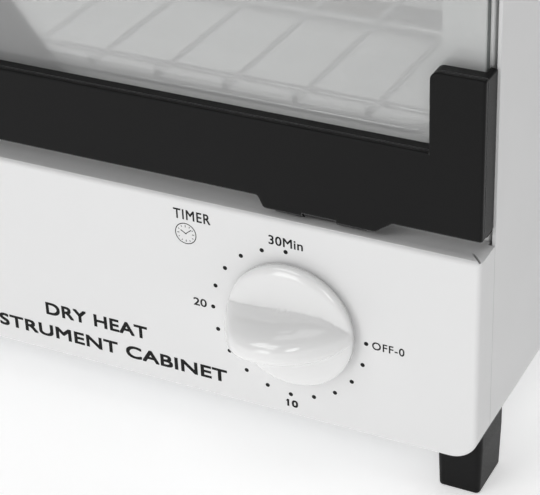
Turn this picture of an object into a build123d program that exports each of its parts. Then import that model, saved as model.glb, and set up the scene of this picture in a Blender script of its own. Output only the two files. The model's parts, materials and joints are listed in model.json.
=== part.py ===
"""Benchtop dry-heat sterilizer: a sheet-steel cabinet on four feet, a drop-down glass door
with black plastic rails, a wire rack, four heating elements and a wind-up timer.

Every piece is drawn in millimetres with x to the right, y from the control panel's front
face towards the back, and z up from the table. Saving a piece moves it along y, so that the
stored part has its origin under the middle of its box.
"""
from build123d import *
import math
import os

# ---- driving dimensions, in millimetres ----
WIDTH = 275.0
HEIGHT = 222.0
BODY_BACK = 190.0
FOOT_H = 16.0
SHEET = 1.0
SHELL_FRONT = 11.2
TOP_R = 12.0
LOW_R = 9.0

PANEL_TOP = 86.8
PANEL_DEPTH = 10.9
PANEL_EDGE_R = 1.6
LEDGE_BACK = 12.7
SLIT_WIDTH = 0.7

FRAME_Y = 13.0
FRAME_HALF = 134.8
FRAME_LOW = 75.0
FRAME_HIGH = 219.3
FRAME_FLANGE = 6.0
OPENING_HALF = 119.6
OPENING_LOW = 104.0
OPENING_HIGH = 205.0
OPENING_R = 6.0
CAVITY_FLOOR = 98.0
CAVITY_TOP = 211.0
CAVITY_BACK = 170.0

RAIL_HALF = 136.9
RAIL_FRONT = 1.5
RAIL_BACK = 10.6
RAIL_END_R = 0.9
RAIL_EDGE_R = 0.7
RAIL_GROOVE = (3.3, 3.8)
RAIL_GROOVE_DEEP = 0.5
RAIL_LOW = 92.9
RAIL_HIGH = 118.1
UPTURN_HIGH = 143.2
UPTURN_IN = 120.5
TOP_RAIL_LOW = 190.0
TOP_RAIL_HIGH = 212.0
DOWNTURN_LOW = 171.0
GLASS_HALF = 134.7
GLASS_FRONT = 7.3
GLASS_T = 3.2
GLASS_LOW = 100.0
GLASS_HIGH = 208.0

HANDLE_HALF = 62.0
HANDLE_Z = 201.0
HANDLE_FRONT = -26.0
HANDLE_POST_X = 52.0

HINGE_X = 86.1
HINGE_Y = 4.2
HINGE_Z = 90.1
KNUCKLE_R = 2.6
KNUCKLE_HALF = 14.5
KNUCKLE_GAP_HALF = 5.5
EYE_R = 2.2
PIN_R = 1.2
PIN_PLAY = 0.05
LOBE_LOW = 89.0
LOBE_BACK = 7.0
CLAMP_T = 0.8
TONGUE_T = 1.5
TONGUE_HALF = 5.0

RACK_Z = 114.2
RACK_HALF = 114.0
RACK_FRONT = 20.0
RACK_BACK = 150.0
RACK_FRAME_R = 1.5
RACK_WIRE_R = 1.1
RACK_PITCH = 23.5
RACK_RISE = 2.0

KNOB_X = 77.6
KNOB_Z = 52.2
KNOB_R = 21.0
KNOB_BACK = -1.8
DISC_T = 4.2
GRIP_HALF = 7.2
GRIP_FRONT = -17.0
SHAFT_R = 3.0

TIMER_HALF_X = 22.0
TIMER_HALF_Z = 20.0
TIMER_FRONT = SHEET
TIMER_BACK = 34.0

TIMER_TAB_X = 12.0
TIMER_TAB_DROP = 16.9

ELEMENT_R = 3.25
ELEMENT_HALF = 127.0
ELEMENT_UPPER_Z = 200.0
ELEMENT_LOWER_Z = 105.0
BUSH_R = 5.95
ELEMENT_Y = (64.0, 122.0)
LOWER_ELEMENT_Y = (112.0, 142.0)

FOOT_X = (122.6, 137.1)
FOOT_Y = (5.0, 24.5)
FOOT_TOP = 23.0
FOOT_SCREW_X = 129.0
FOOT_SCREW_Y = {"front": 15.5, "rear": 171.5}

GLAND_X = -70.0
GLAND_Z = 38.0
GLAND_BACK = 197.0

# each lead's corner points, from the part it leaves to the tab it ends on
WIRE_R = 1.2
TAB_Z = KNOB_Z - TIMER_TAB_DROP
LEFT_TAB = (KNOB_X - TIMER_TAB_X, TIMER_BACK + 9, TAB_Z)
RIGHT_TAB = (KNOB_X + TIMER_TAB_X, TIMER_BACK + 9, TAB_Z)
WIRE_ROUTES = [
    [(-61, 139.6, 23), (-61, 110, 23), (20, 80, 24), (LEFT_TAB[0], 60, TAB_Z - 3.5), LEFT_TAB],
    [RIGHT_TAB, (RIGHT_TAB[0] + 1, 62, 42), (127, 85, 60), (131, 95, 120), (131, 99.5, 155)],
    [(-51, 139.6, 23), (-51, 120, 23), (-105, 100, 30), (-129, 104, 60), (-129, 110, 97)],
]

OUT_DIR = "parts"
MID_Y = (HANDLE_FRONT + GLAND_BACK) / 2


# ---- small shape helpers ----
def block(x0, x1, y0, y1, z0, z1):
    """A box between two corners."""
    centre = ((x0 + x1) / 2, (y0 + y1) / 2, (z0 + z1) / 2)
    return Pos(*centre) * Box(x1 - x0, y1 - y0, z1 - z0)


def rod_x(x0, x1, y, z, radius):
    """A round bar along x."""
    return Pos((x0 + x1) / 2, y, z) * Rot(0, 90, 0) * Cylinder(radius, x1 - x0)


def rod_y(y0, y1, x, z, radius):
    """A round bar along y."""
    return Pos(x, (y0 + y1) / 2, z) * Rot(90, 0, 0) * Cylinder(radius, y1 - y0)


def rod_z(z0, z1, x, y, radius):
    """A round bar along z."""
    return Pos(x, y, (z0 + z1) / 2) * Cylinder(radius, z1 - z0)


def cabinet_face(half, low, high, low_r, high_r):
    """The cabinet's outline seen from the front, with its own lower and upper corner radii."""
    face = Pos(0, (low + high) / 2) * Rectangle(2 * half, high - low)
    if low_r:
        face = fillet(face.vertices().group_by(Axis.Y)[0], low_r)
    if high_r:
        face = fillet(face.vertices().group_by(Axis.Y)[-1], high_r)
    return face


def along_y(face, y0, y1):
    """A front outline drawn out from y0 back to y1."""
    return Pos(0, y0, 0) * extrude(Plane.XZ * face, amount=-(y1 - y0))


def mirror_x(shape):
    """The same piece on the other side of the cabinet."""
    return mirror(shape, about=Plane.YZ)


def group(shapes):
    """Separate solids that share one node."""
    solids = []
    for shape in shapes:
        solids.extend(shape.solids())
    return Compound(children=solids)


def screw_y(x, z, y_head, length, head_r=3.0, head_t=1.8, shank_r=1.5, towards=-1):
    """A pan-head screw along y. Its head's seat is at y_head and its shank runs towards."""
    head = rod_y(min(0, -towards * head_t), max(0, -towards * head_t), 0, 0, head_r)
    rim = head.edges().filter_by(GeomType.CIRCLE).sort_by(Axis.Y)
    head = fillet(rim[-1] if towards < 0 else rim[0], head_t * 0.45)
    shank = rod_y(min(0, towards * length), max(0, towards * length), 0, 0, shank_r)
    slot_y = -towards * head_t
    cross = Box(head_r * 1.2, 1.2, 0.7) + Box(0.7, 1.2, head_r * 1.2)
    return Pos(x, y_head, z) * (head + shank - Pos(0, slot_y, 0) * cross)


def screw_z(x, y, z_head, length, head_r=3.0, head_t=1.8, shank_r=1.5):
    """A pan-head screw that points up. Its head's seat is at z_head."""
    head = fillet(Cylinder(head_r, head_t).edges().group_by(Axis.Z)[0], head_t * 0.45)
    shank = rod_z(0, length, 0, 0, shank_r)
    cross = Box(head_r * 1.2, 0.7, 1.2) + Box(0.7, head_r * 1.2, 1.2)
    screw = Pos(0, 0, -head_t / 2) * head + shank - Pos(0, 0, -head_t) * cross
    return Pos(x, y, z_head) * screw


def save(name, shape):
    """Move a piece to the stored frame and write it."""
    export_step(Pos(0, -MID_Y, 0) * shape, os.path.join(OUT_DIR, name + ".step"))


# ---- casing ----
FOOT_SCREWS = [(side * FOOT_SCREW_X, y) for side in (-1, 1) for y in FOOT_SCREW_Y.values()]
BOTTOM_SCREWS = [(side * 121.0, y) for side in (-1, 1) for y in (60.0, 130.0)]
CASING_SCREWS = [(side * x, z) for side in (-1, 1) for x, z in ((131.5, 40.0), (131.5, 150.0), (80.0, 216.0))]
TIMER_SCREWS = [(KNOB_X + side * 14.0, KNOB_Z) for side in (-1, 1)]
HINGE_SCREWS = [(side * HINGE_X + dx, 81.0) for side in (-1, 1) for dx in (-6.0, 6.0)]
CLAMP_SCREWS = [(x, 96.4) for x in (-100.0, -50.0, 0.0, 50.0, 100.0)]


def outer_shell():
    half = WIDTH / 2
    outside = cabinet_face(half, FOOT_H, HEIGHT, LOW_R, TOP_R)
    inside = cabinet_face(half - SHEET, FOOT_H + SHEET, HEIGHT - SHEET, LOW_R - SHEET, TOP_R - SHEET)
    lip = cabinet_face(half - 11, FOOT_H + 9, HEIGHT - 11, 4, 4)
    shell = along_y(outside - inside, SHELL_FRONT, BODY_BACK)
    shell += along_y(inside - lip, BODY_BACK - 2 * SHEET, BODY_BACK - SHEET)
    shell -= block(-114, 114, 0, BODY_BACK - 2 * SHEET, FOOT_H - 1, FOOT_H + 2)
    for x, y in FOOT_SCREWS + BOTTOM_SCREWS:
        shell -= rod_z(FOOT_H - 1, FOOT_H + 2, x, y, 1.7)
    for x, z in CASING_SCREWS:
        shell -= rod_y(BODY_BACK - 3, BODY_BACK, x, z, 1.5)
    return shell


def front_panel():
    half = WIDTH / 2
    outside = along_y(cabinet_face(half, FOOT_H, PANEL_TOP, LOW_R, 0), 0, PANEL_DEPTH)
    panel = fillet(outside.faces().sort_by(Axis.Y)[0].edges(), PANEL_EDGE_R)
    hollow = cabinet_face(half - SHEET, FOOT_H + SHEET, PANEL_TOP - SHEET, LOW_R - SHEET, 0)
    panel -= along_y(hollow, SHEET, PANEL_DEPTH + 1)
    panel += block(-135.4, 135.4, SHEET, LEDGE_BACK, PANEL_TOP - SHEET, PANEL_TOP)
    panel -= rod_y(-1, SHEET + 1, KNOB_X, KNOB_Z, 5.0)
    for x, z in TIMER_SCREWS:
        panel -= rod_y(-1, SHEET + 1, x, z, 1.7)
    # the folded corners of the ledge meet in a narrow diagonal slit
    slit = Pos(134.9, 3.0, PANEL_TOP) * Rot(0, 0, -47.5) * Box(5.9, SLIT_WIDTH, 3 * SHEET)
    panel -= slit + mirror_x(slit)
    return panel


def front_frame():
    """The face behind the door. Its outer edge turns back, and leaves a gap to the shell."""
    corner = TOP_R - SHEET - 1
    plate = cabinet_face(FRAME_HALF, FRAME_LOW, FRAME_HIGH, 1.5, corner)
    frame = along_y(plate, FRAME_Y, FRAME_Y + FRAME_FLANGE)
    frame = fillet(frame.faces().sort_by(Axis.Y)[0].edges(), 0.8)
    hollow = cabinet_face(FRAME_HALF - SHEET, FRAME_LOW + SHEET, FRAME_HIGH - SHEET, 0.5, corner - SHEET)
    frame -= along_y(hollow, FRAME_Y + SHEET, FRAME_Y + FRAME_FLANGE + 1)
    opening = cabinet_face(OPENING_HALF, OPENING_LOW, OPENING_HIGH, OPENING_R, OPENING_R)
    frame -= along_y(opening, FRAME_Y - 1, FRAME_Y + 2)
    for side in (-1, 1):
        x = side * HINGE_X
        frame -= block(x - 6, x + 6, FRAME_Y - 1, FRAME_Y + 2, HINGE_Z - 3, HINGE_Z + 1)
    for x, z in HINGE_SCREWS:
        frame -= rod_y(FRAME_Y - 1, FRAME_Y + 2, x, z, 1.5)
    return frame


def rear_panel():
    half = WIDTH / 2 - SHEET - 0.3
    outline = cabinet_face(half, FOOT_H + SHEET + 0.3, HEIGHT - SHEET - 0.3, LOW_R - SHEET, TOP_R - SHEET)
    panel = along_y(outline, BODY_BACK - SHEET, BODY_BACK)
    for row_z in (176.0, 196.0):
        for i in range(17):
            x = (i - 8) * 12.0
            panel -= along_y(Pos(x, row_z) * SlotCenterToCenter(11.0, 3.0, rotation=90), 188, 191)
    for i in range(9):
        x = 20 + i * 10.0
        panel -= along_y(Pos(x, 52.0) * SlotCenterToCenter(16.0, 3.0, rotation=90), 188, 191)
    panel -= rod_y(188, 191, GLAND_X, GLAND_Z, 6.5)
    for x, z in CASING_SCREWS:
        panel -= rod_y(188, 191, x, z, 1.5)
    return panel


def bottom_plate():
    low = FOOT_H + SHEET
    plate = block(-128.2, 128.2, SHELL_FRONT, BODY_BACK - 3, low, low + SHEET)
    for row_y in (60.0, 100.0, 140.0):
        for i in range(9):
            x = (i - 4) * 18.0
            plate -= Pos(x, row_y, low) * extrude(SlotCenterToCenter(20.0, 4.0, rotation=90), 3, both=True)
    for x, y in FOOT_SCREWS + BOTTOM_SCREWS:
        plate -= rod_z(low - 1, low + 3, x, y, 1.6)
    return plate


def cavity_liner():
    half = OPENING_HALF
    start = FRAME_Y + SHEET
    solid = block(-half - SHEET, half + SHEET, start, CAVITY_BACK + SHEET, CAVITY_FLOOR - SHEET, CAVITY_TOP + SHEET)
    solid += block(-half - 6, half + 6, start, start + SHEET, CAVITY_FLOOR - 6, CAVITY_TOP + 6)
    solid -= block(-half, half, start - 1, CAVITY_BACK, CAVITY_FLOOR, CAVITY_TOP)
    for y, z in element_centres():
        solid -= rod_x(-half - 5, half + 5, y, z, BUSH_R + 0.05)
    return solid


def rack_runner():
    wall = OPENING_HALF
    shelf_top = RACK_Z - RACK_FRAME_R - 0.3
    leg = block(wall - SHEET, wall, 18, 160, shelf_top - 8, shelf_top)
    shelf = block(wall - 7, wall - SHEET, 18, 160, shelf_top - SHEET, shelf_top)
    stop = block(wall - 7, wall - SHEET, 156, 157, shelf_top, shelf_top + 5)
    runner = leg + shelf + stop
    for y in LOWER_ELEMENT_Y:
        runner -= rod_x(wall - 10, wall + 1, y, ELEMENT_LOWER_Z, BUSH_R + 0.35)
    return runner


def foot(x_in, x_out, y0, y1):
    mid = ((x_in + x_out) / 2, (y0 + y1) / 2)
    top = Rectangle(x_out - x_in, y1 - y0)
    top = fillet(top.vertices(), 2.0)
    leg = Pos(*mid, FOOT_H) * extrude(top, amount=-FOOT_H, taper=2.0)
    leg = fillet(leg.faces().sort_by(Axis.Z)[0].outer_wire().edges(), 0.8)
    leg += Pos(*mid, FOOT_H) * extrude(top, amount=FOOT_TOP - FOOT_H)
    body = cabinet_face(WIDTH / 2, FOOT_H, HEIGHT, LOW_R, TOP_R)
    leg -= along_y(body, -5, BODY_BACK + 5)
    return leg


def feet():
    rear_y = (161.0, 180.5)
    pieces = {}
    for end, (y0, y1) in {"front": FOOT_Y, "rear": rear_y}.items():
        right = foot(FOOT_X[0], FOOT_X[1], y0, y1)
        seat = (FOOT_SCREW_X, FOOT_SCREW_Y[end])
        right -= rod_z(-1, 10, *seat, 4.0) + rod_z(9, 18, *seat, 1.7)
        pieces["foot_" + end + "_right"] = right
        pieces["foot_" + end + "_left"] = mirror_x(right)
    return pieces


# ---- door ----
def ear_face(low, high, side, upturned):
    """One end of a rail, turned up or down beside the glass, with its inner corner rounded."""
    ear = Pos(side * (UPTURN_IN + RAIL_HALF) / 2, (low + high) / 2) * Rectangle(RAIL_HALF - UPTURN_IN, high - low)
    row = ear.vertices().group_by(Axis.Y)[-1 if upturned else 0]
    return fillet(row.sort_by(Axis.X)[0 if side > 0 else -1], 2.5)


def lobe_face(side):
    """The hinge lobe that hangs under the bottom rail: steep at its inner end, longer at its outer end."""
    run = [(-20.0, RAIL_LOW), (-18.2, LOBE_LOW), (18.0, LOBE_LOW), (23.5, RAIL_LOW), (23.5, 100), (-20.0, 100)]
    points = [(side * (HINGE_X + dx), z) for dx, z in run]
    return make_face(Polyline(*points, close=True))


def soften_front(rail):
    """Round the long vertical ends more than the other front edges."""
    front = rail.faces().filter_by(Plane.XZ).sort_by(Axis.Y)[0]
    ends = [e for e in front.edges() if abs(e.center().X) > RAIL_HALF - 0.1]
    rail = fillet(ends, RAIL_END_R)
    front = rail.faces().filter_by(Plane.XZ).sort_by(Axis.Y)[0]
    inside = RAIL_HALF - RAIL_END_R - 0.1
    rest = [e for e in front.edges() if e.center().Z > RAIL_LOW + 1 and abs(e.center().X) < inside]
    return fillet(rest, RAIL_EDGE_R)


def cut_groove(rail, face, lowest, highest):
    """Cut the fine line that runs round a rail's edge, a little behind its front face."""
    band = along_y(face - offset(face, -RAIL_GROOVE_DEEP), *RAIL_GROOVE)
    return rail - (band & block(-RAIL_HALF - 1, RAIL_HALF + 1, 0, 12, lowest, highest))


def door_bottom_rail():
    face = Pos(0, (RAIL_LOW + RAIL_HIGH) / 2) * Rectangle(2 * RAIL_HALF, RAIL_HIGH - RAIL_LOW)
    face += ear_face(RAIL_LOW, UPTURN_HIGH, -1, True) + ear_face(RAIL_LOW, UPTURN_HIGH, 1, True)
    rail = cut_groove(soften_front(along_y(face, RAIL_FRONT, RAIL_BACK)), face, RAIL_LOW + 2, UPTURN_HIGH + 1)
    band = Pos(0, RAIL_LOW + 3) * Rectangle(2 * RAIL_HALF - 8, 6)
    lobes = band + lobe_face(-1) + lobe_face(1)
    low_row = [v for v in lobes.vertices() if v.Z < -1 or v.Y < RAIL_LOW + 0.1]
    inner = [v for v in low_row if abs(v.X) < RAIL_HALF - 5]
    rail += along_y(fillet(inner, 1.5), RAIL_FRONT, LOBE_BACK)
    for side in (-1, 1):
        x = side * HINGE_X
        rail += rod_x(x - KNUCKLE_HALF, x + KNUCKLE_HALF, HINGE_Y, HINGE_Z, KNUCKLE_R)
        rail -= rod_x(x - KNUCKLE_GAP_HALF, x + KNUCKLE_GAP_HALF, HINGE_Y, HINGE_Z, EYE_R + 0.25)
        rail -= block(x - KNUCKLE_GAP_HALF, x + KNUCKLE_GAP_HALF, 0, 12, HINGE_Z - 5, HINGE_Z - 0.3)
        rail -= rod_x(x - KNUCKLE_HALF - 1, x + KNUCKLE_HALF + 1, HINGE_Y, HINGE_Z, PIN_R)
    rail -= block(-GLASS_HALF - 0.2, GLASS_HALF + 0.2, GLASS_FRONT, 20, GLASS_LOW, 160)
    for x, z in CLAMP_SCREWS:
        rail -= rod_y(RAIL_BACK - 6, RAIL_BACK + 1, x, z, 1.2)
    return rail


def door_top_rail():
    face = Pos(0, (TOP_RAIL_LOW + TOP_RAIL_HIGH) / 2) * Rectangle(2 * RAIL_HALF, TOP_RAIL_HIGH - TOP_RAIL_LOW)
    face += ear_face(DOWNTURN_LOW, TOP_RAIL_HIGH, -1, False) + ear_face(DOWNTURN_LOW, TOP_RAIL_HIGH, 1, False)
    rail = along_y(face, RAIL_FRONT, RAIL_BACK)
    front = rail.faces().filter_by(Plane.XZ).sort_by(Axis.Y)[0]
    rail = cut_groove(fillet(front.edges(), RAIL_EDGE_R), face, DOWNTURN_LOW - 1, TOP_RAIL_HIGH + 1)
    rail -= block(-GLASS_HALF - 0.2, GLASS_HALF + 0.2, GLASS_FRONT, 20, 160, GLASS_HIGH)
    for side in (-1, 1):
        rail -= rod_y(0, 12, side * HANDLE_POST_X, HANDLE_Z, 2.2)
    return rail


def door_glass():
    face = cabinet_face(GLASS_HALF, GLASS_LOW, GLASS_HIGH, 2, 2)
    glass = along_y(face, GLASS_FRONT, GLASS_FRONT + GLASS_T)
    glass = chamfer(glass.edges().filter_by(Axis.Z), 0.3)
    for side in (-1, 1):
        glass -= rod_y(0, 12, side * HANDLE_POST_X, HANDLE_Z, 2.8)
    return glass


def door_handle():
    """A grip bar on two posts. The posts take the screws that come through the glass."""
    section = RectangleRounded(14.0, 12.0, 4.5)
    bar = Pos(0, HANDLE_FRONT + 6.0, HANDLE_Z) * Rot(0, 90, 0) * extrude(section, HANDLE_HALF, both=True)
    bar = fillet(bar.faces().filter_by(Plane.YZ).edges(), 3.0)
    for side in (-1, 1):
        post = RectangleRounded(13.0, 12.0, 3.5)
        leg = Pos(side * HANDLE_POST_X, RAIL_FRONT, HANDLE_Z) * Rot(90, 0, 0)
        bar += leg * extrude(post, RAIL_FRONT - HANDLE_FRONT - 6.0)
    for side in (-1, 1):
        bar -= rod_y(-14, 2, side * HANDLE_POST_X, HANDLE_Z, 1.7)
    return bar


def handle_screws():
    seat = GLASS_FRONT + GLASS_T
    pair = [screw_y(side * HANDLE_POST_X, HANDLE_Z, seat, 22, head_r=4.2, head_t=1.6, shank_r=1.7) for side in (-1, 1)]
    return group(pair)


def glass_clamp_bar():
    bar = block(-112, 112, RAIL_BACK, RAIL_BACK + CLAMP_T, RAIL_LOW + 0.6, GLASS_LOW + 5)
    for x, z in CLAMP_SCREWS:
        bar -= rod_y(RAIL_BACK - 1, RAIL_BACK + 2, x, z, 1.4)
    return bar


def clamp_screws():
    seat = RAIL_BACK + CLAMP_T
    return group([screw_y(x, z, seat, 6.5, head_r=2.4, head_t=0.9, shank_r=1.2) for x, z in CLAMP_SCREWS])


def door_buffers():
    """Small black lugs under the bottom rail's ends. They meet the front frame."""
    lug = block(134.0, WIDTH / 2 - SHEET - 0.35, 8.6, FRAME_Y - 0.4, RAIL_LOW - 2.4, RAIL_LOW)
    lug = fillet(lug.edges().filter_by(Axis.Y).group_by(Axis.Z)[0], 0.8)
    lug = fillet(lug.faces().sort_by(Axis.Y)[-1].edges().filter_by(Axis.X), 0.5)
    return group([lug, mirror_x(lug)])


def hinge_tongue(side):
    """A steel tongue fixed behind the frame. Its rolled eye stands between the rail's knuckles."""
    x = side * HINGE_X
    low = HINGE_Z - EYE_R
    eye = rod_x(x - TONGUE_HALF, x + TONGUE_HALF, HINGE_Y, HINGE_Z, EYE_R)
    arm = block(x - TONGUE_HALF, x + TONGUE_HALF, HINGE_Y, FRAME_Y + SHEET + TONGUE_T, low, low + TONGUE_T)
    leg = block(x - 10, x + 10, FRAME_Y + SHEET, FRAME_Y + SHEET + TONGUE_T, FRAME_LOW + 1, low + TONGUE_T)
    tongue = eye + arm + leg
    tongue -= rod_x(x - 20, x + 20, HINGE_Y, HINGE_Z, PIN_R + PIN_PLAY)
    for dx in (-6.0, 6.0):
        tongue -= rod_y(FRAME_Y, FRAME_Y + 4, x + dx, 81.0, 1.5)
    return tongue


def hinge_pin(side):
    x = side * HINGE_X
    pin = rod_x(x - KNUCKLE_HALF, x + KNUCKLE_HALF, HINGE_Y, HINGE_Z, PIN_R)
    return chamfer(pin.edges().filter_by(GeomType.CIRCLE), 0.25)


def hinge_screws():
    seat = FRAME_Y + SHEET + TONGUE_T
    return group([screw_y(x, z, seat, 3.4, head_r=2.8, head_t=1.6) for x, z in HINGE_SCREWS])


# ---- rack ----
def wire_rack():
    mid_y = (RACK_FRONT + RACK_BACK) / 2
    ring = RectangleRounded(2 * RACK_HALF, RACK_BACK - RACK_FRONT, 9.0)
    path = Pos(0, mid_y, RACK_Z) * ring.wire()
    start = path @ 0
    section = Plane(origin=start, z_dir=path % 0) * Circle(RACK_FRAME_R)
    rack = sweep(section, path=path)
    for y in (31.6, mid_y, RACK_BACK - 11.6):
        rack += rod_x(-RACK_HALF, RACK_HALF, y, RACK_Z, RACK_WIRE_R)
    top = RACK_Z + RACK_RISE
    for i in range(9):
        x = (i - 4) * RACK_PITCH
        wire = rod_y(RACK_FRONT, RACK_BACK, x, top, RACK_WIRE_R)
        for y in (RACK_FRONT, RACK_BACK):
            wire += Pos(x, y, top) * Sphere(RACK_WIRE_R)
            wire += rod_z(top, top + 2.8, x, y, RACK_WIRE_R) + Pos(x, y, top + 2.8) * Sphere(RACK_WIRE_R)
        rack += wire
    return rack


# ---- heating ----
def element_centres():
    upper = [(y, ELEMENT_UPPER_Z) for y in ELEMENT_Y]
    lower = [(y, ELEMENT_LOWER_Z) for y in LOWER_ELEMENT_Y]
    return upper + lower


def heating_elements(places, z):
    return group([rod_x(-ELEMENT_HALF, ELEMENT_HALF, y, z, ELEMENT_R) for y in places])


def element_bushes():
    bushes = []
    for y, z in element_centres():
        bush = rod_x(OPENING_HALF - 2.5, OPENING_HALF + 4.5, y, z, BUSH_R)
        bush += rod_x(OPENING_HALF + SHEET, OPENING_HALF + 4.5, y, z, 8.0)
        bush -= rod_x(OPENING_HALF - 5, OPENING_HALF + 8, y, z, ELEMENT_R + 0.05)
        bushes.extend([bush, mirror_x(bush)])
    return group(bushes)


def element_terminals():
    tabs = []
    for y, z in element_centres():
        tab = rod_x(ELEMENT_HALF, ELEMENT_HALF + 2, y, z, 2.4)
        tab += block(ELEMENT_HALF + 1, ELEMENT_HALF + 7.5, y - 0.4, y + 0.4, z - 3.1, z + 3.1)
        tabs.extend([tab, mirror_x(tab)])
    return group(tabs)


# ---- timer ----
def timer_knob():
    """A domed disc with a tall grip that keeps its width, then narrows and falls to a point at the right."""
    front = KNOB_BACK - DISC_T
    disc = rod_y(front, KNOB_BACK, 0, 0, KNOB_R)
    disc = fillet(disc.faces().sort_by(Axis.Y)[0].edges(), 2.4)
    upper = Spline((-KNOB_R, 0), (-16.0, 5.8), (-4.0, GRIP_HALF), (12.0, 5.9), (KNOB_R, 0))
    lower = Spline((-KNOB_R, 0), (-16.0, -5.8), (-4.0, -GRIP_HALF), (12.0, -5.9), (KNOB_R, 0))
    plan = extrude(Plane.XZ * make_face([upper, lower]), amount=-GRIP_FRONT)
    crest = Spline((-KNOB_R, front + 1.5), (-13.0, -13.5), (-1.0, GRIP_FRONT), (12.0, -12.5), (KNOB_R, front + 2.0))
    base = Polyline((KNOB_R, front + 2.0), (KNOB_R, KNOB_BACK - 1), (-KNOB_R, KNOB_BACK - 1), (-KNOB_R, front + 1.5))
    elevation = extrude(make_face([crest, base]), amount=KNOB_R, both=True)
    knob = disc + (plan & elevation & rod_y(-30, KNOB_BACK - 0.5, 0, 0, KNOB_R))
    knob -= rod_y(-12, 0, 0, 0, SHAFT_R)
    knob += block(-3, 3, -9, KNOB_BACK, 2.2, 3.2) & rod_y(-9, KNOB_BACK, 0, 0, SHAFT_R + 0.2)
    return Pos(KNOB_X, 0, KNOB_Z) * knob


def timer_shaft():
    """The timer's spindle, with a flat where the knob drives it."""
    shaft = rod_y(-11.5, 24, 0, 0, SHAFT_R)
    shaft -= block(-5, 5, -12, -1.5, 2.2, 5)
    return Pos(KNOB_X, 0, KNOB_Z) * shaft


def timer_housing():
    box = block(-TIMER_HALF_X, TIMER_HALF_X, TIMER_FRONT, TIMER_BACK, -TIMER_HALF_Z, TIMER_HALF_Z)
    box = fillet(box.edges().filter_by(Axis.Y), 4.0)
    box -= block(-TIMER_HALF_X + 1.5, TIMER_HALF_X - 1.5, TIMER_FRONT + 2, TIMER_BACK - 1.5, -18.5, 18.5)
    box -= rod_y(0, TIMER_FRONT + 3, 0, 0, SHAFT_R + 0.05)
    for side in (-1, 1):
        box -= rod_y(0, TIMER_FRONT + 3, side * 14.0, 0, 1.4)
    box -= rod_y(TIMER_BACK - 3, TIMER_BACK + 1, 0, 0, 2.0)
    for x in (-TIMER_TAB_X, TIMER_TAB_X):
        low = -TIMER_TAB_DROP - 0.5
        box -= block(x - 3.2, x + 3.2, TIMER_BACK - 3, TIMER_BACK + 1, low, low + 1)
    return Pos(KNOB_X, 0, KNOB_Z) * box


def timer_cam():
    """A snail disc on the spindle. It opens the contacts at zero."""
    disc = rod_y(18, 21, 0, 0, 11.0) - Pos(10.5, 19.5, 0) * Box(4, 4, 5)
    disc -= rod_y(17, 22, 0, 0, SHAFT_R)
    return Pos(KNOB_X, 0, KNOB_Z) * disc


def timer_mainspring():
    """The flat coil spring round the spindle, as one closed ring."""
    ring = rod_y(8, 14, 0, 0, 13.5) - rod_y(7, 15, 0, 0, 5.0)
    return Pos(KNOB_X, 0, KNOB_Z) * ring


def timer_bell():
    """A pressed steel cup on a post behind the housing."""
    cup = Pos(0, TIMER_BACK + 10, 0) * Rot(90, 0, 0) * Cylinder(16.0, 9.0)
    cup = fillet(cup.edges().filter_by(GeomType.CIRCLE).sort_by(Axis.Y)[-1], 3.5)
    hollow = Pos(0, TIMER_BACK + 9, 0) * Rot(90, 0, 0) * Cylinder(15.0, 9.0)
    cup -= fillet(hollow.edges().filter_by(GeomType.CIRCLE).sort_by(Axis.Y)[-1], 2.5)
    cup -= rod_y(TIMER_BACK, TIMER_BACK + 20, 0, 0, 1.9)
    return Pos(KNOB_X, 0, KNOB_Z) * cup


def timer_bell_post():
    post = rod_y(TIMER_BACK - 1.5, TIMER_BACK + 13.5, 0, 0, 1.9)
    post += rod_y(TIMER_BACK + 14.5, TIMER_BACK + 16.5, 0, 0, 4.0)
    post += rod_y(TIMER_BACK + 13.5, TIMER_BACK + 14.5, 0, 0, 1.9)
    return Pos(KNOB_X, 0, KNOB_Z) * post


def timer_screws():
    return group([screw_y(x, z, 0, 4.0, head_r=2.6, head_t=1.3, shank_r=1.4, towards=1) for x, z in TIMER_SCREWS])


def timer_tabs():
    tabs = []
    for x in (-TIMER_TAB_X, TIMER_TAB_X):
        low = -TIMER_TAB_DROP - 0.4
        tabs.append(block(x - 3.15, x + 3.15, TIMER_BACK - 4, TIMER_BACK + 8, low, low + 0.8))
    return Pos(KNOB_X, 0, KNOB_Z) * group(tabs)


# ---- electrical parts ----
def thermostat():
    """A snap-disc thermostat on the liner's right side, with two tabs."""
    x = OPENING_HALF + SHEET
    body = rod_x(x, x + 6, 95, 165, 8.0) + rod_x(x, x + 1, 95, 165, 10.0)
    for dy in (-4.5, 4.5):
        body += block(x + 5, x + 12.5, 95 + dy - 0.4, 95 + dy + 0.4, 162, 168)
    return body


def thermal_fuse():
    z = CAVITY_TOP + SHEET + 3.4
    fuse = rod_x(-8, 8, 100, z, 2.2)
    fuse += rod_x(-20, -7, 100, z, 0.6) + rod_x(7, 20, 100, z, 0.6)
    return fuse


def fuse_clip():
    z = CAVITY_TOP + SHEET
    clip = block(-4, 4, 92, 108, z, z + 0.8)
    clip += rod_x(-4, 4, 100, z + 3.4, 3.1) - rod_x(-5, 5, 100, z + 3.4, 2.3)
    return clip


def terminal_block():
    low = FOOT_H + 2 * SHEET
    body = block(-66, -36, 140, 158, low, low + 13)
    body = fillet(body.edges().filter_by(Axis.Z), 1.5)
    for x in (-61.0, -51.0, -41.0):
        body -= rod_y(139, 159, x, low + 5, 1.8)
        body -= rod_z(low + 8, low + 14, x, 145, 2.0) + rod_z(low + 8, low + 14, x, 153, 2.0)
    return body


def earth_stud():
    low = FOOT_H + 2 * SHEET
    nut = extrude(RegularPolygon(3.8, 6), 3.0)
    return Pos(-100, 165, low) * (nut + rod_z(0, 9, 0, 0, 2.0))


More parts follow.
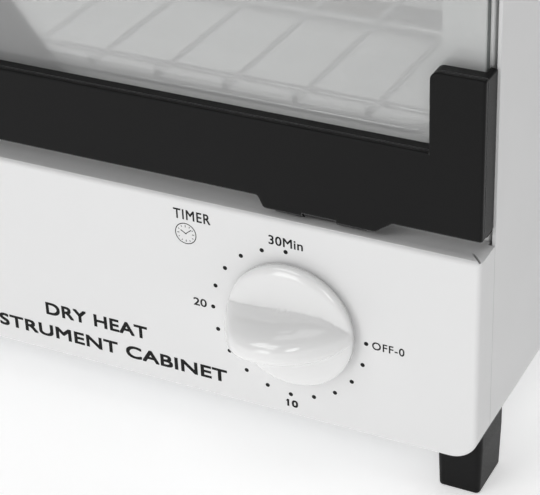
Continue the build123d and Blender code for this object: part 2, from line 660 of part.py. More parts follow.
def cord_gland():
    """The grommet that the mains lead would come out of."""
    gland = rod_y(BODY_BACK, GLAND_BACK, GLAND_X, GLAND_Z, 9.0)
    gland = fillet(gland.edges().filter_by(GeomType.CIRCLE).sort_by(Axis.Y)[-1], 2.5)
    gland += rod_y(BODY_BACK - SHEET, BODY_BACK, GLAND_X, GLAND_Z, 6.5)
    gland += rod_y(BODY_BACK - 5, BODY_BACK - SHEET, GLAND_X, GLAND_Z, 8.5)
    gland -= rod_y(BODY_BACK - 6, GLAND_BACK + 1, GLAND_X, GLAND_Z, 3.4)
    return gland


def wiring_leads():
    leads = []
    for route in WIRE_ROUTES:
        path = FilletPolyline(*route, radius=8.0)
        section = Plane(origin=path @ 0, z_dir=path % 0) * Circle(WIRE_R)
        leads.append(sweep(section, path=path))
    return group(leads)


def foot_screws():
    return group([screw_z(x, y, 10.0, 12.0, head_r=3.6, head_t=2.2, shank_r=1.6) for x, y in FOOT_SCREWS])


def bottom_screws():
    return group([screw_z(x, y, FOOT_H, 5.0, head_r=3.2, head_t=1.8, shank_r=1.6) for x, y in BOTTOM_SCREWS])


def casing_screws():
    return group([screw_y(x, z, BODY_BACK, 6.0) for x, z in CASING_SCREWS])


def main():
    os.makedirs("parts", exist_ok=True)
    runner = rack_runner()
    pieces = {
        "outer_shell": outer_shell(),
        "front_panel": front_panel(),
        "front_frame": front_frame(),
        "rear_panel": rear_panel(),
        "bottom_plate": bottom_plate(),
        "cavity_liner": cavity_liner(),
        "rack_runner_right": runner,
        "rack_runner_left": mirror_x(runner),
        "door_bottom_rail": door_bottom_rail(),
        "door_top_rail": door_top_rail(),
        "door_glass": door_glass(),
        "door_handle": door_handle(),
        "handle_screws": handle_screws(),
        "glass_clamp_bar": glass_clamp_bar(),
        "clamp_screws": clamp_screws(),
        "door_buffers": door_buffers(),
        "hinge_tongue_left": hinge_tongue(-1),
        "hinge_tongue_right": hinge_tongue(1),
        "hinge_pin_left": hinge_pin(-1),
        "hinge_pin_right": hinge_pin(1),
        "hinge_screws": hinge_screws(),
        "wire_rack": wire_rack(),
        "heating_elements_upper": heating_elements(ELEMENT_Y, ELEMENT_UPPER_Z),
        "heating_elements_lower": heating_elements(LOWER_ELEMENT_Y, ELEMENT_LOWER_Z),
        "element_bushes": element_bushes(),
        "element_terminals": element_terminals(),
        "timer_knob": timer_knob(),
        "timer_shaft": timer_shaft(),
        "timer_housing": timer_housing(),
        "timer_cam": timer_cam(),
        "timer_mainspring": timer_mainspring(),
        "timer_bell": timer_bell(),
        "timer_bell_post": timer_bell_post(),
        "timer_screws": timer_screws(),
        "timer_tabs": timer_tabs(),
        "thermostat": thermostat(),
        "thermal_fuse": thermal_fuse(),
        "fuse_clip": fuse_clip(),
        "terminal_block": terminal_block(),
        "earth_stud": earth_stud(),
        "cord_gland": cord_gland(),
        "wiring_leads": wiring_leads(),
        "foot_screws": foot_screws(),
        "bottom_screws": bottom_screws(),
        "casing_screws": casing_screws(),
    }
    pieces.update(feet())
    for name, shape in pieces.items():
        save(name, shape)


main()
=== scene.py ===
"""Looks for the benchtop dry-heat sterilizer: a white sheet-steel cabinet with a glass door in
black rails, a wire rack, and a glossy timer knob on a printed dial.

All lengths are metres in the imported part's frame: x to the right, y to the back, z up.
"""

import json
import math

import bmesh
import bpy
from mathutils import Matrix, Vector


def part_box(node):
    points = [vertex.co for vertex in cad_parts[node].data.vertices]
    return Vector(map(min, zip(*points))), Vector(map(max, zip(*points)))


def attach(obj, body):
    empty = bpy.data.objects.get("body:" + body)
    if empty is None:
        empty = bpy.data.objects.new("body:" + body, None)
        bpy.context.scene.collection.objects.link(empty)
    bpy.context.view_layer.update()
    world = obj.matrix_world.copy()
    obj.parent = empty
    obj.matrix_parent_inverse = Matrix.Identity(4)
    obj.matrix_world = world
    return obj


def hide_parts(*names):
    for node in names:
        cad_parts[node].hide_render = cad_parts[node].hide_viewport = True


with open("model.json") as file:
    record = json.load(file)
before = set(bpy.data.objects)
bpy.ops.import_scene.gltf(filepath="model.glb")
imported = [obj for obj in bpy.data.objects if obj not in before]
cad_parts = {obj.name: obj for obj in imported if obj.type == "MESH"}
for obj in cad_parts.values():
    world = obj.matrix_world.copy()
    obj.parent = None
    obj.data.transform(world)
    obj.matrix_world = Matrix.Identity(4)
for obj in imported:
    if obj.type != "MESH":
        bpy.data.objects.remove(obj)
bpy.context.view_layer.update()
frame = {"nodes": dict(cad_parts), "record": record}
MM = 0.001

# ---- places read from the frame ----
PANEL_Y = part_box("front_panel")[0].y
KNOB_LOW, KNOB_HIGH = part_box("timer_knob")
KNOB = Vector(((KNOB_LOW.x + KNOB_HIGH.x) / 2, PANEL_Y, (KNOB_LOW.z + KNOB_HIGH.z) / 2))
KNOB_BACK = KNOB_HIGH.y - PANEL_Y
KNOB_RADIUS = (KNOB_HIGH.x - KNOB_LOW.x) / 2
# The print on the panel is centred a little to the left of the knob's axis and below it.
DIAL = KNOB + Vector((-2.0, 0.0, -2.0)) * MM

# ---- camera: angles in degrees, and its place from the dial's centre ----
CAMERA_AZIMUTH = 27.8
CAMERA_ELEVATION = 31.1
CAMERA_ROLL = -2.413
CAMERA_FROM_DIAL = Vector((0.21861, -0.42448, 0.31584))
CAMERA_LENS = 124.87
SENSOR_WIDTH = 36.0
CLIP_START = 0.01

# ---- knob, in millimetres: u runs along the grip to its pointed end, v runs across it ----
KNOB_RINGS = 90
KNOB_SPOKES = 288
DISC_RIM = 1.4
DISC_CROWN = 2.6
GRIP_RISE = 14.0
GRIP_TURN = math.radians(3.3)
GRIP_BLUNT_END = 20.8
GRIP_PAST_RIM = 0.2
GRIP_TAPER_START = -4.0
GRIP_HALF_AT_POINT = 1.4
GRIP_HALF_SWELL = 6.9
GRIP_SAG = 1.1

# ---- light: each lamp's place from the dial's centre, its two sides, and its watts ----
SKY = 0.22
FLOOR_SIZE = 6.0
FLOOR_GLOW = 0.36
LIGHTS = {
    "window_left": (Vector((-0.42, -1.05, 0.12)), (0.34, 0.34), 1.3),
    "window_right": (Vector((0.45, -1.00, 0.35)), (0.34, 0.34), 1.6),
    "boom": (Vector((-0.40, -0.75, 0.68)), (0.60, 0.40), 2.4),
    "top": (Vector((0.0, 0.2, 1.65)), (1.6, 1.6), 9.5),
}
# A soft fill under the cavity's roof lights the rack from above.
CAVITY_ROOF = Vector((-0.0756, 0.085, 0.137))
CAVITY_FILL_SIZE = (0.20, 0.08)
CAVITY_FILL = 0.035

# ---- dial print ----
DIAL_MINUTES = 30
DIAL_SWEEP = 270.0
DOT_EVERY = 2
DOT_RING = 26.0 * MM
DOT_RADIUS = 0.72 * MM
INK_LIFT = 0.03 * MM
# Name, words, middle from the dial's centre (x, z), height, width, weight, letter spacing: millimetres
PRINT = (
    ("print_timer", "TIMER", -31.6, 31.2, 3.5, 12.8, 0.07, 1.12),
    ("print_30", "30Min", 0.1, 29.2, 3.2, 11.4, 0.07, 1.05),
    ("print_20", "20", -30.6, 0.4, 2.9, 4.7, 0.07, 1.0),
    ("print_10", "10", 0.5, -29.4, 2.7, 3.8, 0.14, 1.1),
    ("print_off", "OFF-0", 33.2, 0.0, 2.8, 10.5, 0.05, 1.12),
    ("print_line_1", "DRY HEAT", -70.2, -16.8, 4.8, 38.5, 0.20, 1.04),
    ("print_line_2", "INSTRUMENT CABINET", -70.2, -25.7, 4.8, 95.5, 0.20, 1.04),
)
# The words are printed four times, each a little to one side, to thicken the strokes.
STRIKES = ((-1, -1), (1, -1), (-1, 1), (1, 1))
STRIKE_LIFT = 0.1
FLAG_FROM_DIAL = Vector((-0.95, 0.0, -28.25)) * MM
FLAG_ANGLE = 215
FLAG_LONG = 0.95 * MM
FLAG_WIDE = 0.34 * MM
CLOCK_FROM_DIAL = Vector((-34.1, 0.0, 24.5)) * MM
CLOCK_R = 3.7 * MM
CLOCK_LINE = 0.28 * MM
TICK_GAP = 0.75 * MM
TICK_WIDE = 0.22 * MM
TICK_LONG = 0.75 * MM
TICK_SHORT = 0.45 * MM
HAND_TAIL = 0.3 * MM
# Angle in degrees, length and width of the clock's two hands
HANDS = ((150, 2.0 * MM, 0.3 * MM), (38, 2.5 * MM, 0.24 * MM))


# ---------------------------------------------------------------- materials
class Nodes:
    """A new material with a Principled shader and short calls to add nodes to it."""

    def __init__(self, name):
        self.material = bpy.data.materials.new(name)
        self.material.use_nodes = True
        self.tree = self.material.node_tree
        self.shader = self.tree.nodes["Principled BSDF"]
        self.output = self.tree.nodes["Material Output"]
        place = self.tree.nodes.new("ShaderNodeTexCoord")
        self.coords = place.outputs["Object"]
        self.normals = place.outputs["Normal"]

    def add(self, kind, **values):
        node = self.tree.nodes.new("ShaderNode" + kind)
        for key, value in values.items():
            setattr(node, key, value)
        return node

    def link(self, a, b):
        self.tree.links.new(a, b)

    def set(self, **values):
        """Numbers and colours that are even over the surface, by the shader's own socket names."""
        for key, value in values.items():
            self.shader.inputs[key.replace("_", " ")].default_value = value

    def stretched(self, scale):
        mapping = self.add("Mapping")
        mapping.inputs["Scale"].default_value = scale
        self.link(self.coords, mapping.inputs["Vector"])
        return mapping.outputs["Vector"]

    def noise(self, scale, detail=3.0, rough=0.5, vector=None):
        node = self.add("TexNoise")
        node.inputs["Scale"].default_value = scale
        node.inputs["Detail"].default_value = detail
        node.inputs["Roughness"].default_value = rough
        self.link(vector or self.coords, node.inputs["Vector"])
        return node.outputs["Fac"]

    def voronoi(self, scale):
        node = self.add("TexVoronoi")
        node.inputs["Scale"].default_value = scale
        self.link(self.coords, node.inputs["Vector"])
        return node

    def ramp(self, value, low, high, out_low, out_high):
        node = self.add("MapRange")
        node.inputs["From Min"].default_value = low
        node.inputs["From Max"].default_value = high
        node.inputs["To Min"].default_value = out_low
        node.inputs["To Max"].default_value = out_high
        self.link(value, node.inputs["Value"])
        return node.outputs["Result"]

    def mix(self, fac, colour_a, colour_b):
        """Mix two colours. Sockets 6, 7 and 2 are the Mix node's colour inputs and output."""
        node = self.add("Mix", data_type="RGBA")
        for socket, value in ((node.inputs[6], colour_a), (node.inputs[7], colour_b)):
            if isinstance(value, tuple):
                socket.default_value = (*value, 1.0)
            else:
                self.link(value, socket)
        self.link(fac, node.inputs[0])
        return node.outputs[2]

    def mix_shaders(self, fac, shader_a, shader_b):
        node = self.add("MixShader")
        for socket, value in zip(node.inputs, (fac, shader_a, shader_b)):
            self.link(value, socket)
        return node.outputs[0]

    def diffuse(self, colour):
        node = self.add("BsdfDiffuse")
        node.inputs["Color"].default_value = (*colour, 1.0)
        return node.outputs[0]

    def edge_wear_and_highlight(self, width=0.0006):
        """1 on sharp outer edges, from the difference between the bevelled and the true normal. It
        marks rubbed wear, and on the black plastic a painted highlight.
        """
        bevel = self.add("Bevel", samples=4)
        bevel.inputs["Radius"].default_value = width
        geometry = self.add("NewGeometry")
        dot = self.add("VectorMath", operation="DOT_PRODUCT")
        self.link(bevel.outputs["Normal"], dot.inputs[0])
        self.link(geometry.outputs["Normal"], dot.inputs[1])
        return self.ramp(dot.outputs["Value"], 0.97, 0.75, 0.0, 1.0)

    def bump(self, height, strength, distance):
        node = self.add("Bump")
        node.inputs["Strength"].default_value = strength
        node.inputs["Distance"].default_value = distance
        self.link(height, node.inputs["Height"])
        self.link(node.outputs["Normal"], self.shader.inputs["Normal"])

    def colour(self, value):
        self.link(value, self.shader.inputs["Base Color"])

    def roughness(self, value):
        self.link(value, self.shader.inputs["Roughness"])


def white_paint():
    """Powder coat: faint orange peel, and a slow drift in tone and gloss."""
    m = Nodes("white_paint")
    drift = m.noise(9.0, 4.0)
    m.colour(m.mix(drift, (0.80, 0.80, 0.80), (0.835, 0.835, 0.835)))
    m.roughness(m.ramp(m.noise(60.0, 5.0), 0.3, 0.7, 0.34, 0.44))
    m.bump(m.noise(1400.0, 2.0), 0.08, 0.0002)
    m.set(Specular_IOR_Level=0.4)
    return m.material


def black_plastic():
    """Moulded plastic with a spark-eroded grain, and a painted highlight: every sharp edge is painted
    lighter to stand for the light line along the rail's top edges.
    """
    m = Nodes("black_plastic")
    grain = m.noise(2600.0, 3.0, 0.6)
    drift = m.noise(25.0, 4.0)
    base = m.mix(drift, (0.0028, 0.0028, 0.0029), (0.0045, 0.0045, 0.0046))
    # Painted highlight: the edge mask lightens the colour to 0.14 on every sharp edge.
    m.colour(m.mix(m.edge_wear_and_highlight(), base, (0.14, 0.14, 0.141)))
    m.roughness(m.ramp(grain, 0.3, 0.7, 0.36, 0.50))
    m.bump(grain, 0.14, 0.00015)
    m.set(Specular_IOR_Level=0.16)
    return m.material


def bright_steel():
    """Aluminised sheet: rolled grain along x and soft cloudy patches."""
    m = Nodes("bright_steel")
    rolled = m.noise(260.0, 5.0, 0.65, m.stretched((0.06, 1.0, 1.0)))
    cloud = m.noise(22.0, 5.0, 0.6)
    m.colour(m.mix(cloud, (0.94, 0.94, 0.936), (0.97, 0.97, 0.965)))
    m.roughness(m.ramp(rolled, 0.25, 0.75, 0.42, 0.58))
    m.bump(rolled, 0.08, 0.0002)
    m.set(Metallic=0.1)
    return m.material


def galvanised():
    """Zinc sheet with its spangle."""
    m = Nodes("galvanised")
    spangle = m.voronoi(170.0)
    value = m.ramp(spangle.outputs["Color"], 0.0, 1.0, 0.0, 1.0)
    m.colour(m.mix(value, (0.42, 0.43, 0.44), (0.60, 0.61, 0.62)))
    m.roughness(m.ramp(value, 0.0, 1.0, 0.32, 0.52))
    m.bump(m.noise(500.0, 3.0), 0.1, 0.0002)
    m.set(Metallic=0.9)
    return m.material


def chrome_wire():
    """Plated wire: bright, with fine drawing marks and small dull spots."""
    m = Nodes("chrome_wire")
    spots = m.noise(420.0, 4.0, 0.7)
    m.colour(m.mix(spots, (0.80, 0.80, 0.79), (0.66, 0.66, 0.66)))
    m.roughness(m.ramp(spots, 0.35, 0.75, 0.14, 0.34))
    m.bump(m.noise(1500.0, 2.0), 0.08, 0.0001)
    m.set(Metallic=0.9)
    return m.material


def screw_steel():
    """Zinc-plated screws, turned and a little dull in the recesses."""
    m = Nodes("screw_steel")
    marks = m.noise(1800.0, 3.0, 0.6)
    base = m.mix(marks, (0.52, 0.52, 0.53), (0.70, 0.70, 0.71))
    m.colour(m.mix(m.edge_wear_and_highlight(0.0004), base, (0.82, 0.82, 0.82)))
    m.roughness(m.ramp(marks, 0.3, 0.7, 0.22, 0.40))
    m.bump(marks, 0.15, 0.0001)
    m.set(Metallic=1.0)
    return m.material


def spindle_steel():
    """Turned steel, with fine rings round the shaft."""
    m = Nodes("spindle_steel")
    turned = m.noise(900.0, 4.0, 0.6, m.stretched((0.2, 3.0, 0.2)))
    m.colour(m.mix(turned, (0.42, 0.42, 0.43), (0.62, 0.62, 0.62)))
    m.roughness(m.ramp(turned, 0.3, 0.7, 0.22, 0.42))
    m.bump(turned, 0.2, 0.0001)
    m.set(Metallic=1.0)
    return m.material


def black_steel():
    """Black phosphate on steel, rubbed bright at the edges."""
    m = Nodes("black_steel")
    patch = m.noise(300.0, 5.0, 0.65)
    base = m.mix(patch, (0.016, 0.016, 0.017), (0.035, 0.034, 0.033))
    m.colour(m.mix(m.edge_wear_and_highlight(0.0004), base, (0.16, 0.16, 0.16)))
    m.roughness(m.ramp(patch, 0.3, 0.7, 0.32, 0.5))
    m.bump(m.noise(1600.0, 3.0), 0.15, 0.00012)
    m.set(Metallic=0.4)
    return m.material


def element_steel():
    """Element sheath, tinted straw and blue-grey by heat in slow bands."""
    m = Nodes("element_steel")
    bands = m.noise(26.0, 3.0, 0.5, m.stretched((1.0, 0.3, 0.3)))
    m.colour(m.mix(bands, (0.30, 0.24, 0.18), (0.26, 0.28, 0.31)))
    m.roughness(m.ramp(m.noise(700.0, 4.0), 0.3, 0.7, 0.34, 0.52))
    m.bump(m.noise(1200.0, 3.0), 0.15, 0.0001)
    m.set(Metallic=0.85)
    return m.material


def ceramic():
    """Glazed steatite with fine specks."""
    m = Nodes("ceramic")
    speck = m.noise(900.0, 4.0, 0.7)
    m.colour(m.mix(speck, (0.72, 0.68, 0.60), (0.83, 0.80, 0.74)))
    m.roughness(m.ramp(speck, 0.3, 0.7, 0.48, 0.66))
    m.bump(speck, 0.25, 0.0002)
    return m.material


def brass():
    """Pressed tabs, a little tarnished."""
    m = Nodes("brass")
    tarnish = m.noise(500.0, 5.0, 0.65)
    m.colour(m.mix(tarnish, (0.62, 0.44, 0.17), (0.75, 0.58, 0.28)))
    m.roughness(m.ramp(tarnish, 0.3, 0.7, 0.24, 0.42))
    m.bump(tarnish, 0.12, 0.0001)
    m.set(Metallic=1.0)
    return m.material


def cream_plastic():
    """Aged phenolic with a slow mottle."""
    m = Nodes("cream_plastic")
    mottle = m.noise(300.0, 4.0)
    m.colour(m.mix(mottle, (0.66, 0.62, 0.50), (0.74, 0.70, 0.58)))
    m.roughness(m.ramp(mottle, 0.3, 0.7, 0.40, 0.52))
    m.bump(m.noise(1800.0, 3.0), 0.15, 0.00015)
    return m.material


def black_rubber():
    """Moulded rubber with a film of dust."""
    m = Nodes("black_rubber")
    dust = m.noise(240.0, 5.0, 0.7)
    m.colour(m.mix(dust, (0.009, 0.009, 0.009), (0.020, 0.0195, 0.019)))
    m.roughness(m.ramp(dust, 0.3, 0.7, 0.58, 0.74))
    m.bump(m.noise(1500.0, 3.0), 0.25, 0.0002)
    m.set(Specular_IOR_Level=0.15)
    return m.material


def red_sleeve():
    """Braided glass sleeving on the leads."""
    m = Nodes("red_sleeve")
    braid = m.voronoi(1500.0)
    m.colour(m.mix(m.noise(120.0, 3.0), (0.32, 0.035, 0.03), (0.42, 0.06, 0.05)))
    m.roughness(m.ramp(braid.outputs["Distance"], 0.0, 0.6, 0.45, 0.62))
    m.bump(braid.outputs["Distance"], 0.25, 0.00015)
    return m.material


def white_plastic():
    """The knob's glossy moulding, with a very slow ripple in the gloss."""
    m = Nodes("white_plastic")
    m.colour(m.mix(m.noise(30.0, 3.0), (0.845, 0.845, 0.842), (0.87, 0.87, 0.868)))
    m.roughness(m.ramp(m.noise(90.0, 4.0), 0.3, 0.7, 0.10, 0.16))
    m.bump(m.noise(180.0, 2.0), 0.05, 0.0004)
    m.set(Coat_Weight=0.35, Coat_Roughness=0.06)
    return m.material


def ink():
    """Screen-printed black, slightly uneven."""
    m = Nodes("ink")
    m.colour(m.mix(m.noise(1300.0, 4.0, 0.7), (0.004, 0.004, 0.004), (0.010, 0.010, 0.010)))
    m.roughness(m.ramp(m.noise(900.0, 3.0), 0.3, 0.7, 0.38, 0.52))
    m.bump(m.noise(2200.0, 3.0), 0.1, 0.00008)
    m.set(Specular_IOR_Level=0.15)
    return m.material


def clear_glass():
    """Tempered pane: clear glass under a pale diffuse veil that is a painted reflection of the white
    studio, dark ground edges, and gloss by Fresnel.
    """
    m = Nodes("clear_glass")
    m.tree.nodes.remove(m.shader)
    clear = m.add("BsdfTransparent")
    tint = m.mix(m.noise(12.0, 3.0), (0.965, 0.975, 0.97), (0.98, 0.985, 0.98))
    m.link(tint, clear.inputs["Color"])
    # Painted reflection: a pale diffuse layer, 28 to 33 percent, is mixed over the clear glass to stand
    # for the studio's reflection in the pane.
    painted_reflection_veil = m.ramp(m.noise(7.0, 4.0), 0.3, 0.7, 0.28, 0.33)
    face = m.mix_shaders(painted_reflection_veil, clear.outputs[0], m.diffuse((0.86, 0.865, 0.865)))
    normal = m.add("SeparateXYZ")
    m.link(m.normals, normal.inputs[0])
    facing = m.add("Math", operation="ABSOLUTE")
    m.link(normal.outputs["Y"], facing.inputs[0])
    at_edge = m.ramp(facing.outputs[0], 0.4, 0.8, 0.85, 0.0)
    body = m.mix_shaders(at_edge, face, m.diffuse((0.13, 0.145, 0.14)))
    gloss = m.add("BsdfGlossy")
    gloss.inputs["Roughness"].default_value = 0.02
    fresnel = m.add("Fresnel")
    fresnel.inputs["IOR"].default_value = 1.5
    pane = m.mix_shaders(fresnel.outputs[0], body, gloss.outputs[0])
    m.link(pane, m.output.inputs["Surface"])
    return m.material


def floor_white():
    """Seamless white paper, lit so that it fades out of sight."""
    m = Nodes("floor_white")
    m.colour(m.mix(m.noise(3.0), (0.93, 0.93, 0.93), (0.95, 0.95, 0.95)))
    m.set(Roughness=0.9, Specular_IOR_Level=0.1)
    m.set(Emission_Color=(1, 1, 1, 1), Emission_Strength=FLOOR_GLOW)
    return m.material


MATERIALS = {
    "white_paint": white_paint(),
    "bright_steel": bright_steel(),
    "galvanised": galvanised(),
    "black_plastic": black_plastic(),
    "white_plastic": white_plastic(),
    "door_glass": clear_glass(),
    "rack_chrome": chrome_wire(),
    "screw_steel": screw_steel(),
    "spindle_steel": spindle_steel(),
    "black_steel": black_steel(),
    "element_steel": element_steel(),
    "ceramic": ceramic(),
    "brass": brass(),
    "cream_plastic": cream_plastic(),
    "black_rubber": black_rubber(),
    "red_sleeve": red_sleeve(),
}
INK = ink()


def dress_nodes():
    """Give each CAD node the material of its slot in the record."""
    for row in frame["record"]["subparts"]:
        piece = frame["nodes"][row["node"]]
        piece.data.materials.clear()
        piece.data.materials.append(MATERIALS[row["material_slot"]])


# ---------------------------------------------------------------- pieces
def mesh_piece(name, bm, material, body, smooth=True):
    """Turn a bmesh into a named piece that rides on a body."""
    mesh = bpy.data.meshes.new(name)
    bm.normal_update()
    bm.to_mesh(mesh)
    bm.free()
    for face in mesh.polygons:
        face.use_smooth = smooth
    mesh.materials.append(material)
    piece = bpy.data.objects.new(name, mesh)
    bpy.context.scene.collection.objects.link(piece)
    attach(piece, body)
    return piece


def dial_point(minutes, radius):
    """A place on the panel. The dial runs clockwise, and starts at the right."""
    angle = -math.radians(DIAL_SWEEP / DIAL_MINUTES * minutes)
    return Vector((DIAL.x + radius * math.cos(angle), PANEL_Y, DIAL.z + radius * math.sin(angle)))


def add_disc(bm, centre, radius, thickness, sides=28):
    """A thin disc standing on the panel."""
    turn = Matrix.Rotation(math.radians(90), 4, "X")
    place = Matrix.Translation(centre + Vector((0, -thickness / 2, 0))) @ turn
    bmesh.ops.create_cone(
        bm, cap_ends=True, segments=sides, radius1=radius, radius2=radius, depth=thickness, matrix=place
    )


def dial_dots():
    """The ring of marks, one at every second minute."""
    bm = bmesh.new()
    for minutes in range(0, DIAL_MINUTES + 1, DOT_EVERY):
        add_disc(bm, dial_point(minutes, DOT_RING), DOT_RADIUS, INK_LIFT)
    return mesh_piece("dial_dots", bm, INK, "cabinet", smooth=False)


def flat_words(name, words, spacing):
    """Some words as a flat mesh in the font's own units."""
    curve = bpy.data.curves.new(name, "FONT")
    curve.body = words
    curve.space_character = spacing
    curve.resolution_u = 6
    text = bpy.data.objects.new(name, curve)
    bpy.context.scene.collection.objects.link(text)
    bpy.context.view_layer.update()
    flat = bpy.data.meshes.new_from_object(text.evaluated_get(bpy.context.evaluated_depsgraph_get()))
    bpy.data.objects.remove(text)
    return flat


def print_text(name, words, x_mm, z_mm, height_mm, width_mm, weight_mm, spacing):
    """Lettering on the panel, centred on a place given from the dial's centre."""
    flat = flat_words(name, words, spacing)
    xs = [v.co.x for v in flat.vertices]
    ys = [v.co.y for v in flat.vertices]
    scale_x = (width_mm - 2 * weight_mm) * MM / (max(xs) - min(xs))
    scale_z = (height_mm - 2 * weight_mm) * MM / (max(ys) - min(ys))
    middle = Vector(((max(xs) + min(xs)) / 2, (max(ys) + min(ys)) / 2))
    bm = bmesh.new()
    for step, (right, up) in enumerate(STRIKES):
        y = PANEL_Y - INK_LIFT * (1 + STRIKE_LIFT * step)
        points = []
        for v in flat.vertices:
            x = DIAL.x + (x_mm + right * weight_mm) * MM + (v.co.x - middle.x) * scale_x
            z = DIAL.z + (z_mm + up * weight_mm) * MM + (v.co.y - middle.y) * scale_z
            points.append(bm.verts.new((x, y, z)))
        for face in flat.polygons:
            bm.faces.new([points[i] for i in face.vertices])
    return mesh_piece(name, bm, INK, "cabinet", smooth=False)


def add_bar(bm, centre, angle, start, end, width):
    """A printed stroke that runs outwards from a centre on the panel at an angle in degrees."""
    turn = math.radians(angle)
    along = Vector((math.cos(turn), 0, math.sin(turn)))
    side = Vector((-along.z, 0, along.x)) * width / 2
    lift = Vector((0, -INK_LIFT, 0))
    foot = [centre + along * start - side, centre + along * end - side]
    foot += [centre + along * end + side, centre + along * start + side]
    low = [bm.verts.new(point) for point in foot]
    high = [bm.verts.new(point + lift) for point in foot]
    bm.faces.new(high)
    bm.faces.new(low[::-1])
    for i in range(4):
        j = (i + 1) % 4
        bm.faces.new((low[i], low[j], high[j], high[i]))


def add_ring(bm, centre, inner, outer, sides=64):
    """A printed circle line."""
    loops = []
    for radius, lift in ((inner, 0.0), (outer, 0.0), (outer, INK_LIFT), (inner, INK_LIFT)):
        loop = []
        for i in range(sides):
            angle = 2 * math.pi * i / sides
            offset = Vector((radius * math.cos(angle), -lift, radius * math.sin(angle)))
            loop.append(bm.verts.new(centre + offset))
        loops.append(loop)
    for k in range(4):
        low, high = loops[k], loops[(k + 1) % 4]
        for i in range(sides):
            j = (i + 1) % sides
            bm.faces.new((low[i], low[j], high[j], high[i]))


def one_flag():
    """The short flag on the figure 1 of the ten-minute mark."""
    bm = bmesh.new()
    add_bar(bm, DIAL + FLAG_FROM_DIAL, FLAG_ANGLE, 0.0, FLAG_LONG, FLAG_WIDE)
    bmesh.ops.recalc_face_normals(bm, faces=bm.faces)
    return mesh_piece("print_10_flag", bm, INK, "cabinet", smooth=False)


def clock_sign():
    """A small clock face under the word for the timer."""
    bm = bmesh.new()
    centre = DIAL + CLOCK_FROM_DIAL
    add_ring(bm, centre, CLOCK_R - CLOCK_LINE, CLOCK_R)
    outer = CLOCK_R - TICK_GAP
    for hour in range(12):
        long = TICK_LONG if hour % 3 == 0 else TICK_SHORT
        add_bar(bm, centre, 30 * hour, outer - long, outer, TICK_WIDE)
    for angle, length, width in HANDS:
        add_bar(bm, centre, angle, -HAND_TAIL, length, width)
    bmesh.ops.recalc_face_normals(bm, faces=bm.faces)
    return mesh_piece("clock_sign", bm, INK, "cabinet", smooth=False)


def knob():
    """The knob's moulding: a domed disc, and a grip that narrows and falls to a point at the right."""
    bm = bmesh.new()
    front = PANEL_Y + KNOB_BACK
    grid = []
    for i in range(KNOB_RINGS + 1):
        radius = KNOB_RADIUS * math.sin(i / KNOB_RINGS * math.pi / 2) ** 0.95
        row = []
        for j in range(KNOB_SPOKES):
            angle = 2 * math.pi * j / KNOB_SPOKES
            u = radius * math.cos(angle)
            v = radius * math.sin(angle)
            height = knob_height(u / MM, v / MM) * MM
            row.append(bm.verts.new((KNOB.x + u, front - height, KNOB.z + v)))
        grid.append(row)
    grid.append([bm.verts.new((v.co.x, front, v.co.z)) for v in grid[KNOB_RINGS]])
    for i in range(KNOB_RINGS + 1):
        for j in range(KNOB_SPOKES):
            k = (j + 1) % KNOB_SPOKES
            bm.faces.new((grid[i][j], grid[i + 1][j], grid[i + 1][k], grid[i][k]))
    bm.faces.new(grid[KNOB_RINGS + 1][::-1])
    bmesh.ops.remove_doubles(bm, verts=bm.verts, dist=1e-7)
    bmesh.ops.recalc_face_normals(bm, faces=bm.faces)
    piece = mesh_piece("knob_moulding", bm, MATERIALS["white_plastic"], "timer_dial")
    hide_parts("timer_knob")
    return piece


def knob_height(x, z):
    """Height in millimetres above the knob's back, at x to the right and z up from its middle."""
    edge = KNOB_RADIUS / MM
    cosine, sine = math.cos(GRIP_TURN), math.sin(GRIP_TURN)
    u = x * cosine + z * sine
    v = z * cosine - x * sine
    disc = DISC_RIM + DISC_CROWN * math.sqrt(max(0.0, 1.0 - (math.hypot(u, v) / edge) ** 5))
    if u < 0:
        ridge = max(0.0, 1.0 - (-u / GRIP_BLUNT_END) ** 3.0) ** 0.75
    else:
        ridge = max(0.0, 1.0 - (u / (edge + GRIP_PAST_RIM)) ** 1.8)
    taper = max(0.0, (u - GRIP_TAPER_START) / (edge - GRIP_TAPER_START))
    half = GRIP_HALF_AT_POINT + GRIP_HALF_SWELL * (1.0 - min(1.0, taper) ** 3.6)
    middle = -GRIP_SAG * (1.0 - u / edge)
    across = max(0.0, 1.0 - (abs(v - middle) / half) ** 2.2) ** 0.7
    return disc + GRIP_RISE * ridge * across


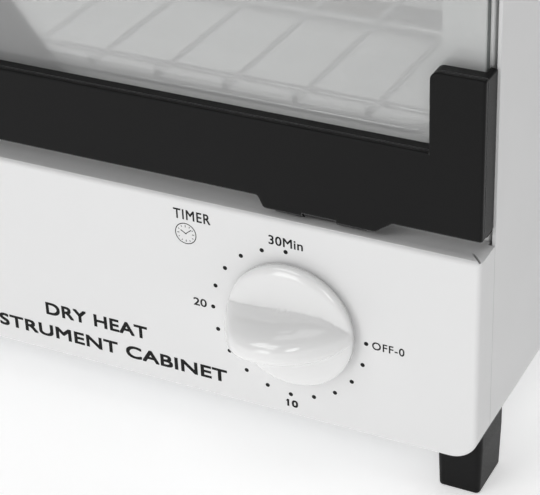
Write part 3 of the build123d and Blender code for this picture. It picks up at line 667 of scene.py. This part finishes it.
# ---------------------------------------------------------------- stage
def soft_light(name, place, target, size, watts):
    """A rectangular lamp that faces a target."""
    light = bpy.data.lights.new(name, "AREA")
    light.shape = "RECTANGLE"
    light.size, light.size_y = size
    light.energy = watts
    lamp = bpy.data.objects.new(name, light)
    lamp.location = place
    lamp.rotation_euler = (target - place).to_track_quat("-Z", "Y").to_euler()
    bpy.context.scene.collection.objects.link(lamp)
    return lamp


def paper_floor():
    bm = bmesh.new()
    bmesh.ops.create_grid(bm, x_segments=1, y_segments=1, size=FLOOR_SIZE)
    mesh = bpy.data.meshes.new("floor")
    bm.to_mesh(mesh)
    bm.free()
    mesh.materials.append(floor_white())
    floor = bpy.data.objects.new("floor", mesh)
    bpy.context.scene.collection.objects.link(floor)


def even_sky():
    world = bpy.data.worlds.new("studio")
    world.use_nodes = True
    sky = world.node_tree.nodes["Background"]
    sky.inputs["Color"].default_value = (1, 1, 1, 1)
    sky.inputs["Strength"].default_value = SKY
    bpy.context.scene.world = world


def lights():
    for name, (offset, size, watts) in LIGHTS.items():
        soft_light(name, DIAL + offset, DIAL, size, watts)
    roof = DIAL + CAVITY_ROOF
    fill = soft_light("cavity_fill", roof, roof - Vector((0, 0, 1)), CAVITY_FILL_SIZE, CAVITY_FILL)
    fill.visible_camera = False
    fill.visible_glossy = False


def camera():
    data = bpy.data.cameras.new("camera")
    data.lens = CAMERA_LENS
    data.sensor_width = SENSOR_WIDTH
    data.clip_start = CLIP_START
    shot = bpy.data.objects.new("camera", data)
    bpy.context.scene.collection.objects.link(shot)
    azimuth = math.radians(CAMERA_AZIMUTH)
    pitch = math.radians(90 - CAMERA_ELEVATION)
    turn = Matrix.Rotation(azimuth, 4, "Z") @ Matrix.Rotation(pitch, 4, "X")
    turn @= Matrix.Rotation(math.radians(CAMERA_ROLL), 4, "Z")
    shot.matrix_world = Matrix.Translation(DIAL + CAMERA_FROM_DIAL) @ turn
    bpy.context.scene.camera = shot


def main():
    dress_nodes()
    knob()
    dial_dots()
    clock_sign()
    one_flag()
    for name, words, x, z, height, width, weight, spacing in PRINT:
        print_text(name, words, x, z, height, width, weight, spacing)
    camera()
    paper_floor()
    even_sky()
    lights()
    bpy.context.scene.view_settings.view_transform = "Standard"


main()
